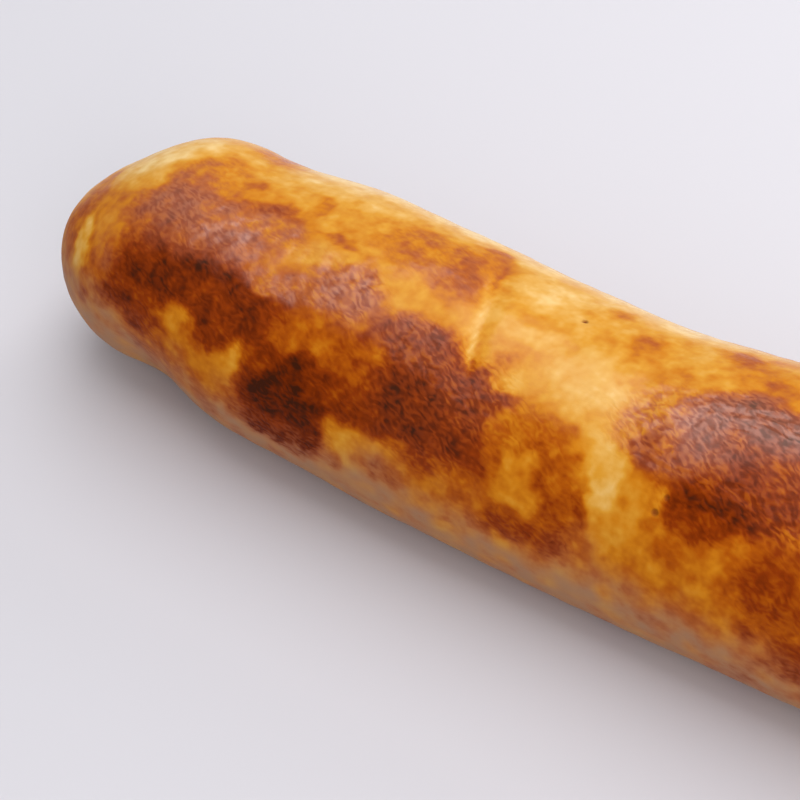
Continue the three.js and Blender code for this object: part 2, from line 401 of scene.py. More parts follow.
SEEN_PATCHES = (
    # the amber round the largest dark patches
    Patch(44, 26, 30, 22, 0.47),
    Patch(112, 48, 24, 20, 0.50),
    Patch(180, 26, 28, 19, 0.45),
    # the front flank between the dark patches
    Patch(80, 58, 60, 17, 0.64, soft=0.4),
    Patch(174, 72, 32, 17, 0.53),
    # the rounded left end
    Patch(14, 28, 13, 20, 0.44),
    Patch(17, -12, 12, 10, 0.04, turn=20),
    Patch(24, -24, 9, 5, 0.12),
    Patch(23, 6, 6, 5, 0.20),
    Patch(21, 38, 5, 6, 0.38, gloss_and_sheen=0.8),
    Patch(8, 35, 3, 12, 0.58),
    Patch(13, 50, 3, 5.5, 0.14, turn=-15, soft=0.4),
    Patch(26, 54, 9, 6, 0.67),
    Patch(20, 70, 14, 6, 0.66),
    Patch(31, 71, 11, 7, 0.82, turn=10),
    Patch(22, 86, 12, 5, 0.55),
    # the dark patch on the left end and the band below it
    Patch(34, -5, 8, 8, 0.53, crinkle=0.3, gloss_and_sheen=0.7),
    Patch(42, 19, 19, 10, 0.72, turn=5, soft=0.45, crinkle=0.5, gloss_and_sheen=1.0),
    Patch(44, 8, 9, 4, 0.60),
    Patch(48, 43, 23, 7, 0.88, turn=2, crinkle=0.5, gloss_and_sheen=0.05),
    Patch(57, 50, 11, 8, 0.84, soft=0.35, crinkle=0.4),
    Patch(37, 46, 10, 5, 0.88),
    Patch(55, 1, 8, 3.6, 0.68, turn=-5),
    Patch(58, 9, 7, 4, 0.58, soft=0.4, crinkle=0.5, gloss_and_sheen=1.0),
    # golden streaks near the top
    Patch(50, -19, 12, 5, 0.24, turn=5),
    Patch(45, -8, 3, 2.2, 0.52, soft=0.35),
    Patch(69, -9, 9, 6, 0.34),
    Patch(62, -8, 2, 5, 0.54, soft=0.35),
    Patch(72, 3, 7, 1.8, 0.56, turn=-5, soft=0.35),
    Patch(72, 14, 9, 4.5, 0.36, soft=0.35, crinkle=0.3, gloss_and_sheen=0.9),
    # painted highlight in part: these pale strips along the far top edge are paler dough that also
    # stands in for the bright reflection along that edge
    Patch(72, -29, 17, 5, 0.14),
    Patch(80, -44, 44, 6, 0.06),
    Patch(135, -40, 30, 7, 0.06),
    Patch(41, -40, 7, 5, 0.54),
    Patch(84, 19, 7, 7, 0.60, turn=45, soft=0.4, crinkle=0.8, gloss_and_sheen=0.85),
    Patch(95, -8, 16, 10, 0.52, turn=5, crinkle=0.3, gloss_and_sheen=0.5),
    Patch(103, -5, 6, 6, 0.68, soft=0.4),
    Patch(104, -24, 5, 6, 0.52, soft=0.35),
    Patch(110, 4, 4, 7, 0.29, soft=0.6),
    Patch(98, 12, 11, 4.5, 0.38, turn=5, soft=0.4, gloss_and_sheen=0.15),
    Patch(103, 1, 6, 4, 0.60, gloss_and_sheen=0.3),
    # painted highlight in part: these two lighter, glossy strips stand partly for a streak of sheen
    # that the coat also reflects
    Patch(68, 29, 10, 2.8, 0.62, turn=-6, soft=0.35, crinkle=0.5, gloss_and_sheen=1.0),
    Patch(77, 24, 6, 4, 0.60, turn=10, soft=0.4, crinkle=0.6, gloss_and_sheen=1.0),
    # the orange window and the darkest patch below it
    Patch(80, 40, 10, 7, 0.62, soft=0.4),
    Patch(77, 36, 5, 3, 0.56),
    Patch(84, 44, 3, 3, 0.55),
    Patch(97, 52, 7, 6, 0.66, soft=0.35),
    Patch(96, 30, 6, 3, 0.66, turn=10, soft=0.35),
    Patch(76, 58, 15, 4, 0.76, soft=0.35),
    Patch(66, 57, 6, 5, 0.84),
    Patch(79, 78, 13, 11, 1.0, turn=5, crinkle=0.4, gloss_and_sheen=0.0),
    Patch(78, 92, 12, 5, 0.88),
    Patch(66, 64, 6, 5, 0.78, soft=0.35),
    Patch(46, 60, 5, 3.8, 0.42, turn=-20),
    Patch(61, 69, 3, 6.5, 0.44, turn=20),
    Patch(50, 78, 9, 5, 0.58),
    Patch(97, 81, 9, 7, 0.37, turn=25),
    Patch(91, 64, 9, 4.5, 0.82),
    Patch(103, 86, 6, 4, 0.64),
    # the big dark patch before the middle
    Patch(112, 45, 16, 14, 0.69, turn=10, soft=0.45, crinkle=0.9, gloss_and_sheen=0.15),
    Patch(105, 49, 8, 9, 0.89, crinkle=0.7),
    Patch(114, 60, 9, 5, 0.84, turn=5, crinkle=0.7),
    Patch(102, 28, 9, 5, 0.79, turn=10, soft=0.45, crinkle=0.8, gloss_and_sheen=0.5),
    Patch(119, 40, 8, 6, 0.76, crinkle=0.9, gloss_and_sheen=0.35),
    # the golden middle
    Patch(120, 17, 7, 5, 0.31),
    Patch(130, -8, 21, 15, 0.27),
    Patch(140, 15, 11, 9, 0.17, turn=30),
    Patch(119, -22, 7, 8, 0.18),
    Patch(120, -2, 8, 3, 0.38),
    Patch(135, -23, 5, 4, 0.46),
    Patch(128, 26, 9, 4, 0.32),
    Patch(135, 44, 10, 6, 0.54, turn=5, soft=0.45, crinkle=0.4),
    Patch(140, 37, 4, 3, 0.54),
    Patch(136, 65, 6, 6, 0.40, turn=10),
    Patch(134, 83, 9, 5, 0.68, turn=-5, soft=0.45),
    Patch(120, 84, 9, 5, 0.52),
    Patch(145, 56, 6, 8, 0.59, soft=0.4),
    Patch(147, 77, 6, 10, 0.71, turn=5, soft=0.4),
    Patch(150, 27, 5, 7, 0.22),
    Patch(153, 47, 4, 8, 0.18, turn=-15, soft=0.45),
    Patch(160, 74, 6, 10, 0.40, turn=-15),
    Patch(146, -9, 6, 5, 0.52, turn=25, soft=0.4),
    Patch(151, -1, 4, 2.6, 0.56, soft=0.35),
    Patch(152, 2, 9, 7, 0.42),
    Patch(163, -18, 13, 8, 0.39, turn=10),
    Patch(164, -25, 5, 3.4, 0.60, soft=0.4),
    Patch(178, -11, 12, 5, 0.51, turn=15),
    Patch(160, 4, 6, 3, 0.38),
    # the wrinkled dark patch past the middle
    Patch(157, 18, 9, 9, 0.46, soft=0.6, crinkle=0.8, gloss_and_sheen=1.0),
    Patch(172, 18, 12, 10, 0.74, turn=10, soft=0.55, crinkle=0.9, gloss_and_sheen=0.95),
    Patch(182, 12, 18, 11, 0.78, turn=5, soft=0.35, crinkle=0.9, gloss_and_sheen=0.9),
    Patch(186, 20, 13, 6, 0.80, turn=10, soft=0.6, crinkle=0.9, gloss_and_sheen=0.4),
    Patch(176, 39, 11, 7, 0.83, crinkle=0.7, gloss_and_sheen=0.0),
    Patch(178, 46, 9, 5.5, 0.82),
    Patch(189, 30, 14, 8, 0.78, soft=0.4, crinkle=0.9, gloss_and_sheen=0.15),
    Patch(161, 31, 7, 4, 0.66, soft=0.35, crinkle=0.8, gloss_and_sheen=0.6),
    Patch(162, 49, 5, 4.5, 0.37, soft=0.4),
    Patch(188, 54, 9, 4.5, 0.45, turn=-12),
    Patch(193, 64, 10, 7, 0.74, soft=0.6),
    Patch(197, 46, 9, 6, 0.70),
    Patch(203, 78, 11, 10, 0.72),
    Patch(184, 70, 6, 5, 0.57),
    Patch(174, 81, 13, 8, 0.57),
)

UNSEEN_PATCHES = (
    # the far flank
    Patch(72, -76, 30, 17, 0.44, turn=5, soft=0.6),
    Patch(204, -72, 30, 17, 0.46, turn=-5, soft=0.6),
    Patch(30, -78, 15, 12, 0.46, turn=10),
    Patch(64, -72, 20, 8, 0.60, turn=-14, crinkle=0.4),
    Patch(75, -79, 9, 5, 0.78, turn=10, crinkle=0.5),
    Patch(98, -66, 12, 9, 0.30),
    Patch(120, -92, 17, 7, 0.58, turn=18),
    Patch(130, -62, 7, 5, 0.58),
    Patch(150, -72, 12, 9, 0.22),
    Patch(170, -55, 15, 6, 0.52, turn=-10),
    Patch(201, -76, 20, 9, 0.62, turn=12, crinkle=0.6),
    Patch(210, -67, 10, 6, 0.82, turn=25, crinkle=0.7),
    Patch(192, -84, 7, 4, 0.72),
    Patch(232, -78, 12, 9, 0.42),
    Patch(262, -60, 13, 9, 0.58, turn=-10, soft=0.4),
    Patch(16, -100, 9, 9, 0.60),
    # the crown of the right third
    Patch(208, 2, 9, 14, 0.24, turn=10),
    Patch(212, 30, 6, 9, 0.20, turn=-10),
    Patch(204, -32, 12, 8, 0.46, soft=0.4),
    Patch(240, 40, 30, 20, 0.48, turn=4, soft=0.6),
    Patch(232, -16, 20, 10, 0.52, turn=12, crinkle=0.4),
    Patch(241, -20, 9, 4, 0.72, turn=20, crinkle=0.4),
    Patch(226, -10, 7, 4, 0.64, turn=-15),
    Patch(240, 18, 14, 6, 0.34, turn=-8),
    Patch(231, 42, 17, 10, 0.74, turn=12, soft=0.4, crinkle=0.8),
    Patch(246, 52, 12, 8, 0.80, turn=-10, crinkle=0.7),
    Patch(236, 50, 8, 5, 0.90, crinkle=0.8),
    Patch(222, 62, 7, 6, 0.46, soft=0.4),
    Patch(216, 78, 10, 6, 0.62, soft=0.4),
    Patch(244, 78, 12, 6, 0.50),
    Patch(256, 30, 6, 8, 0.36),
    Patch(262, 6, 17, 12, 0.56, turn=-14, crinkle=0.5),
    Patch(268, 14, 10, 8, 0.74, turn=20, crinkle=0.6),
    Patch(258, -4, 6, 5, 0.72, turn=-30, crinkle=0.5),
    Patch(258, 62, 9, 7, 0.58, turn=15, soft=0.4),
    Patch(272, 44, 8, 8, 0.28),
    Patch(282, 70, 7, 9, 0.60, soft=0.4),
    Patch(284, 0, 6, 12, 0.44),
    Patch(280, -40, 8, 8, 0.16),
    Patch(287, 60, 4, 9, 0.52),
)


@dataclass(frozen=True)
class FoldLine:
    """A thin line along a crease, paler or browner than the skin beside it.

    It leans and ends as a crease does, and its width is in millimetres.
    """

    along: float
    around: float
    lean: float
    reach: float
    width: float
    bake: float


FOLD_LINES = (
    FoldLine(107.3, -15, 0.15, 12, 0.8, 0.60),
    FoldLine(112.0, 14, 0.20, 15, 0.6, 0.08),
    FoldLine(217, -20, -0.12, 30, 0.7, 0.14),
)


@dataclass(frozen=True)
class Pinhole:
    """A tiny pit where steam came through: its place and its radius in millimetres."""

    along: float
    around: float
    radius: float


PINHOLES = (
    Pinhole(129.5, -11, 0.65),
    Pinhole(166.6, 44.5, 0.65),
    Pinhole(165.4, 51.5, 0.75),
    Pinhole(226.0, 8, 0.7),
    Pinhole(249.0, 60, 0.6),
    Pinhole(104.0, -76, 0.7),
    Pinhole(187.0, -84, 0.6),
)


@dataclass(frozen=True)
class Blotches:
    """Layered noise: the size of its coarsest lump in millimetres, its layers and its pattern."""

    size: float
    layers: int
    pattern: int

    def at(self, points: Array) -> Array:
        """Read the noise at points in millimetres."""
        return layered_noise(points, self.size, self.layers, self.pattern)


@dataclass(frozen=True)
class CrownLevel:
    """A level that changes from the crown to each flank, between two numbers of degrees."""

    crown: float
    near: float
    far: float
    near_degrees: Span
    far_degrees: Span

    def at(self, degrees: Array) -> Array:
        """Ramp from the crown's level to the near flank's one way, and to the far one's the other."""
        level = self.crown + (self.near - self.crown) * ramp(degrees, *self.near_degrees)
        return level + (self.far - self.crown) * ramp(-degrees, *self.far_degrees)


@dataclass(frozen=True)
class ShadedLowBand:
    """The pale low band, darkened by painted shade. Its sizes are in millimetres."""

    full: float = 18.0  # the height below which the band is whole
    top: float = 36.0  # the height above which there is none
    rise: float = 6.0  # how much higher it stands at the left end
    rise_along: Span = (20.0, 62.0)
    drop: float = 7.0  # how much lower it stands on the far side
    drop_across: Span = (-12.0, 20.0)
    ragged: float = 14.0  # how far its edge wanders
    edge: Blotches = Blotches(17, 4, 71)
    mottle: float = 0.35
    mottling: Blotches = Blotches(9, 3, 79)
    strength: float = 0.85
    patchiness: float = 0.5
    patches: Blotches = Blotches(5, 1, 73)

    def share(self, points: Array, along: Array) -> Array:
        """Tell how far each point lies in the band.

        The point's height, made ragged by noise, is taken as greater on the far side and smaller
        at the left end. The band falls off smoothly with it.

        Args:
            points: the skin's points in millimetres.
            along: their millimetres from the left tip.

        Returns:
            1 in the band, 0 above it.
        """
        tip = 1 - ramp(along, *self.rise_along)
        far = ramp(points[:, 1], *self.drop_across)
        height = points[:, 2] + self.ragged * self.edge.at(points)
        height += self.drop * far - self.rise * tip
        return 1 - ramp(height, self.full, self.top)


@dataclass(frozen=True)
class Sole:
    """The underside, which browned unevenly on the tray. Its sizes are in millimetres."""

    bake: float = 0.68
    mottle: float = 0.4
    mottling: Blotches = Blotches(26, 4, 83)
    height: float = 3.4  # up to which it browned
    ragged: float = 5.0  # how far its edge wanders
    edge: Blotches = Blotches(14, 3, 77)
    fade: float = 0.5  # how much less the low band's paleness and painted shade show on it

    def share(self, points: Array) -> Array:
        """Tell how far each point lies on the sole, by its height made ragged by noise."""
        lift = points[:, 2] + self.ragged * self.edge.at(points)
        return 1 - ramp(lift, -self.height, self.height)

    def browning(self, points: Array) -> Array:
        """Give the sole's mottled bake level."""
        return self.bake + self.mottle * self.mottling.at(points)


@dataclass
class CrustBake:
    """Paints how far the skin browned, how wrinkled and shiny it is, and where it stayed pale
    and takes painted shade.

    Patches are painted one over the other. Their ovals are measured from points shifted by noise,
    which makes their edges as ragged as on real crust.
    """

    form: RollForm
    bake: CrownLevel = CrownLevel(0.29, 0.50, 0.40, (28, 60), (35, 80))
    # gloss sets the coat and also masks the sheen painted into the colour
    gloss_and_sheen: CrownLevel = CrownLevel(0.35, 0.03, 0.7, (24, 42), (18, 46))
    gloss_ebb: float = 0.5  # how much less all of it shines, and takes painted sheen, down the near side
    ebb_degrees: Span = (10, 31)
    drift: tuple[Span, ...] = ((10.0, 2.4), (4.2, 1.5), (1.9, 0.7))  # sizes and reaches of shifts
    drift_pattern: int = 31
    drift_strides: tuple[int, int] = (7, 3)  # to the next size's pattern, and the next axis's
    line_sway: float = 0.3  # the share of the shift that fold lines follow
    mottle: tuple[Span, ...] = ((19.0, 0.09), (8.0, 0.09), (3.6, 0.08), (1.8, 0.05))
    mottle_pattern: int = 51
    evening: float = 0.5  # how much less the darkest crust is mottled
    evened_levels: Span = (0.65, 0.9)
    browned_crinkle: float = 0.45
    crinkled_levels: Span = (0.46, 0.78)
    shaded_pale_band: ShadedLowBand = ShadedLowBand()
    sole: Sole = Sole()

    def shifted(self, points: Array) -> Array:
        """Move points by noise of three sizes, each with its own reach in millimetres.

        Args:
            points: the skin's points in millimetres.

        Returns:
            The moved points.
        """
        moved = points.copy()
        layer_stride, axis_stride = self.drift_strides
        for layer, (size, reach) in enumerate(self.drift):
            for axis in range(3):
                pattern = self.drift_pattern + layer_stride * layer + axis_stride * axis
                moved[:, axis] += reach * smooth_noise(points / size, pattern)
        return moved

    def oval(self, moved: Array, patch: Patch) -> Array:
        """Measure how far inside a patch each point lies.

        The distance along, and the chord around with the side's sign, are turned by the patch's
        turn and divided by its half-sizes. Their root of squares is 1 on the oval's edge.

        Args:
            moved: the skin's points, shifted by noise.
            patch: the patch.

        Returns:
            1 well inside the patch, 0 outside it.
        """
        centre = self.form.spot(patch.along, patch.around)
        axis = np.array([0.0, self.form.centre_height])
        arm = centre[1:] - axis
        away = moved - centre
        side = np.sign(arm[0] * away[:, 2] - arm[1] * away[:, 1])
        around = side * np.hypot(away[:, 1], away[:, 2])
        turn = math.radians(patch.turn)
        length = (away[:, 0] * math.cos(turn) + around * math.sin(turn)) / patch.length
        girth = (around * math.cos(turn) - away[:, 0] * math.sin(turn)) / patch.girth
        return 1 - ramp(np.hypot(length, girth), 1 - patch.soft, 1 + patch.soft)

    def patched(self, moved: Array, degrees: Array) -> tuple[Array, Array, Array]:
        """Paint all the patches over the levels that the crown and the flanks have anyway.

        Args:
            moved: the skin's points, shifted by noise.
            degrees: their degrees from the crown line.

        Returns:
            The bake, crinkle and gloss of each point.
        """
        bake = self.bake.at(degrees)
        crinkle = np.zeros(len(moved))
        gloss_and_sheen = self.gloss_and_sheen.at(degrees)
        for patch in UNSEEN_PATCHES + SEEN_PATCHES:
            inside = self.oval(moved, patch)
            bake += (patch.bake - bake) * inside
            if patch.crinkle is not None:
                crinkle += (patch.crinkle - crinkle) * inside
            if patch.gloss_and_sheen is not None:
                gloss_and_sheen += (patch.gloss_and_sheen - gloss_and_sheen) * inside
        gloss_and_sheen *= 1 - self.gloss_ebb * ramp(degrees, *self.ebb_degrees)
        return bake, crinkle, gloss_and_sheen

    def line_share(self, line: FoldLine, x: Array, degrees: Array) -> Array:
        """Tell how much of a fold line lies on each point.

        It is a bell curve across the line, which fades with the fourth power of the degrees
        around over the line's reach.

        Args:
            line: the fold line.
            x: the points' places along X, swaying a little.
            degrees: their degrees from the crown line.

        Returns:
            1 on the line, 0 away from it.
        """
        away = degrees - line.around
        middle = line.along - self.form.length / 2 + line.lean * away
        return np.exp(-(((x - middle) / line.width) ** 2) - (away / line.reach) ** 4)

    def paint(self, points: Array, angle: Array) -> dict[str, Array]:
        """Work out the skin's fields.

        Args:
            points: the skin's points in millimetres.
            angle: their radians from the crown line, from -pi to pi.

        Returns:
            The fields bake, crinkle, gloss with painted sheen and band with painted shade, 0 to 1 each.
        """
        moved = self.shifted(points)
        degrees = np.degrees(angle)
        bake, crinkle, gloss_and_sheen = self.patched(moved, degrees)
        evened = 1 - self.evening * ramp(bake, *self.evened_levels)
        for size, strength in self.mottle:
            bake += strength * evened * smooth_noise(points / size, self.mottle_pattern + size)
        crinkle = np.maximum(crinkle, self.browned_crinkle * ramp(bake, *self.crinkled_levels))
        swaying = (1 - self.line_sway) * points[:, 0] + self.line_sway * moved[:, 0]
        for line in FOLD_LINES:
            bake += (line.bake - bake) * self.line_share(line, swaying, degrees)
        # painted shade: the low band marks pale dough that the material darkens and greys to stand in
        # for the shade near the floor
        shaded_pale_band = self.shaded_pale_band.share(points, points[:, 0] + self.form.length / 2)
        bake += self.shaded_pale_band.mottle * shaded_pale_band * self.shaded_pale_band.mottling.at(points)
        shaded_pale_band *= self.shaded_pale_band.strength + self.shaded_pale_band.patchiness * self.shaded_pale_band.patches.at(points)
        sole = self.sole.share(points)
        bake += (self.sole.browning(points) - bake) * sole
        return {
            "bake": np.clip(bake, 0, 1),
            "crinkle": np.clip(crinkle * (1 - sole), 0, 1),
            "gloss_and_sheen": np.clip(gloss_and_sheen * (1 - sole), 0, 1),
            "shaded_pale_band": np.clip(shaded_pale_band * (1 - self.sole.fade * sole), 0, 1),
        }


# ---- Building meshes and materials -------------------------------------------------------------

NOISE_ROUGHNESS = 0.55  # how strong the finer layers of a noise texture are
WORM_DRIFT = 0.17  # the scale of the wrinkles' wandering, as a share of their own scale
WORM_DISTORTION = 0.3
NOISE_MIDDLE: Point = (0.5, 0.5, 0.5)  # the average of a noise texture's colour
WORM_STEP: Span = (-0.48, 0.50)  # the noise at which a ridge begins to rise, and is whole
PIT_RIM: Span = (0.45, 1.25)  # the shares of a pit's radius between which its mask fades


class NodeBench:
    """Adds and joins shader nodes in one node tree."""

    def __init__(self, tree: bpy.types.NodeTree) -> None:
        """Start on an empty tree."""
        self.tree = tree
        tree.nodes.clear()

    def add(
        self, kind: str, inputs: dict[str | int, object] | None = None, **settings: object
    ) -> bpy.types.Node:
        """Add a node.

        Args:
            kind: Blender's name for the kind of node.
            inputs: values or sockets for its inputs, by name or place.
            **settings: the node's own settings.

        Returns:
            The new node.
        """
        node = self.tree.nodes.new(kind)
        for name, value in settings.items():
            setattr(node, name, value)
        for name, value in (inputs or {}).items():
            if isinstance(value, Socket):
                self.tree.links.new(value, node.inputs[name])
            else:
                node.inputs[name].default_value = value
        return node

    def maths(self, operation: str, *values: Socket | float) -> Socket:
        """Add a Math node and return its result."""
        return self.add("ShaderNodeMath", dict(enumerate(values)), operation=operation).outputs[0]

    def vector(self, operation: str, *values: Socket | Point) -> Socket:
        """Add a Vector Math node and return its vector."""
        return self.add("ShaderNodeVectorMath", dict(enumerate(values)), operation=operation).outputs[0]

    def span(self, value: Socket, given: Span, wanted: Span) -> Socket:
        """Map a value from one span to another, clamped, and return the result."""
        ends = dict(zip(("From Min", "From Max", "To Min", "To Max"), (*given, *wanted)))
        return self.add("ShaderNodeMapRange", {"Value": value, **ends}).outputs["Result"]

    def noise(self, place: Socket, scale: float, detail: float) -> Socket:
        """Add a noise texture that runs from about -1 to 1 and return its value."""
        wanted = {"Vector": place, "Scale": scale, "Detail": detail, "Roughness": NOISE_ROUGHNESS}
        return self.add("ShaderNodeTexNoise", wanted, normalize=False).outputs[0]

    def mix(self, share: Socket, first: Socket, second: Colour) -> Socket:
        """Mix a colour from a socket with a plain one.

        The node has inputs of every kind, so those that count are found by their types.

        Args:
            share: how much of the second colour is mixed in.
            first: the first colour.
            second: the second colour.

        Returns:
            The mixed colour.
        """
        node = self.add("ShaderNodeMix", data_type="RGBA")
        factor = next(socket for socket in node.inputs if socket.type == "VALUE")
        below, above = (socket for socket in node.inputs if socket.type == "RGBA")
        self.tree.links.new(share, factor)
        self.tree.links.new(first, below)
        above.default_value = (*second, 1)
        return next(socket for socket in node.outputs if socket.type == "RGBA")


def new_group(name: str, inputs: dict[str, str], output: str) -> bpy.types.NodeTree:
    """Make an empty node group.

    Args:
        name: the group's name.
        inputs: the name of each input and its kind, Vector or Float.
        output: the name of its one output, which is a Float.

    Returns:
        The group.
    """
    group = bpy.data.node_groups.new(name, "ShaderNodeTree")
    for title, kind in inputs.items():
        group.interface.new_socket(title, in_out="INPUT", socket_type=f"NodeSocket{kind}")
    group.interface.new_socket(output, in_out="OUTPUT", socket_type="NodeSocketFloat")
    return group


def worm_group() -> bpy.types.NodeTree:
    """Make the group of short winding wrinkles, all leaning one way.

    The place is shifted by slow noise, turned into the wrinkles' own frame and shortened along
    them, so that the noise read there is drawn out. A smooth step between two of its values gives
    rounded ridges with valleys between them.

    Returns:
        A node group with the inputs Vector, Turn, Stretch, Scale and Wander, and the output Ridge,
        which is 0 in the valleys and 1 on the ridges.
    """
    kinds = {"Vector": "Vector", "Turn": "Vector", "Stretch": "Vector"}
    kinds |= {"Scale": "Float", "Wander": "Float"}
    group = new_group("worm_wrinkles", kinds, "Ridge")
    bench = NodeBench(group)
    given = bench.add("NodeGroupInput").outputs
    slow = bench.maths("MULTIPLY", given["Scale"], WORM_DRIFT)
    drift = bench.add("ShaderNodeTexNoise", {"Vector": given["Vector"], "Scale": slow, "Detail": 1.0})
    centred = bench.vector("SUBTRACT", drift.outputs["Color"], NOISE_MIDDLE)
    wandering = {0: centred, "Scale": given["Wander"]}
    shift = bench.add("ShaderNodeVectorMath", wandering, operation="SCALE").outputs[0]
    frame_of_worms = bench.add(
        "ShaderNodeMapping",
        {
            "Vector": bench.vector("ADD", given["Vector"], shift),
            "Rotation": given["Turn"],
            "Scale": given["Stretch"],
        },
        vector_type="TEXTURE",
    )
    wanted = {"Vector": frame_of_worms.outputs[0], "Scale": given["Scale"], "Detail": 0.0}
    wanted["Distortion"] = WORM_DISTORTION
    noise = bench.add("ShaderNodeTexNoise", wanted, normalize=False).outputs[0]
    ends = {"Value": noise, "From Min": WORM_STEP[0], "From Max": WORM_STEP[1]}
    step = bench.add("ShaderNodeMapRange", ends, interpolation_type="SMOOTHSTEP")
    bench.add("NodeGroupOutput", {"Ridge": step.outputs["Result"]})
    return group


def pit_group() -> bpy.types.NodeTree:
    """Make the group that masks a small round pit: 1 within its radius, fading over its rim.

    Returns:
        A node group with the inputs Vector, Centre and Radius, and the output Mask.
    """
    group = new_group("steam_pit", {"Vector": "Vector", "Centre": "Vector", "Radius": "Float"}, "Mask")
    bench = NodeBench(group)
    given = bench.add("NodeGroupInput").outputs
    ends = {0: given["Vector"], 1: given["Centre"]}
    distance = bench.add("ShaderNodeVectorMath", ends, operation="DISTANCE").outputs["Value"]
    share = bench.maths("DIVIDE", distance, given["Radius"])
    bench.add("NodeGroupOutput", {"Mask": bench.span(share, PIT_RIM, (1.0, 0.0))})
    return group


class BakeTone(Enum):
    """The crust's colours in linear light, with the bake level at which each one stands."""

    PALE_DOUGH = (0.00, (0.90, 0.60, 0.24))
    STRAW = (0.15, (0.80, 0.43, 0.095))
    GOLDEN = (0.30, (0.73, 0.32, 0.030))
    ORANGE = (0.45, (0.64, 0.210, 0.008))
    AMBER = (0.60, (0.46, 0.096, 0.002))
    CHESTNUT = (0.75, (0.28, 0.037, 0.001))
    DARK_BROWN = (0.90, (0.150, 0.018, 0.001))
    CHARRED = (1.00, (0.055, 0.011, 0.003))


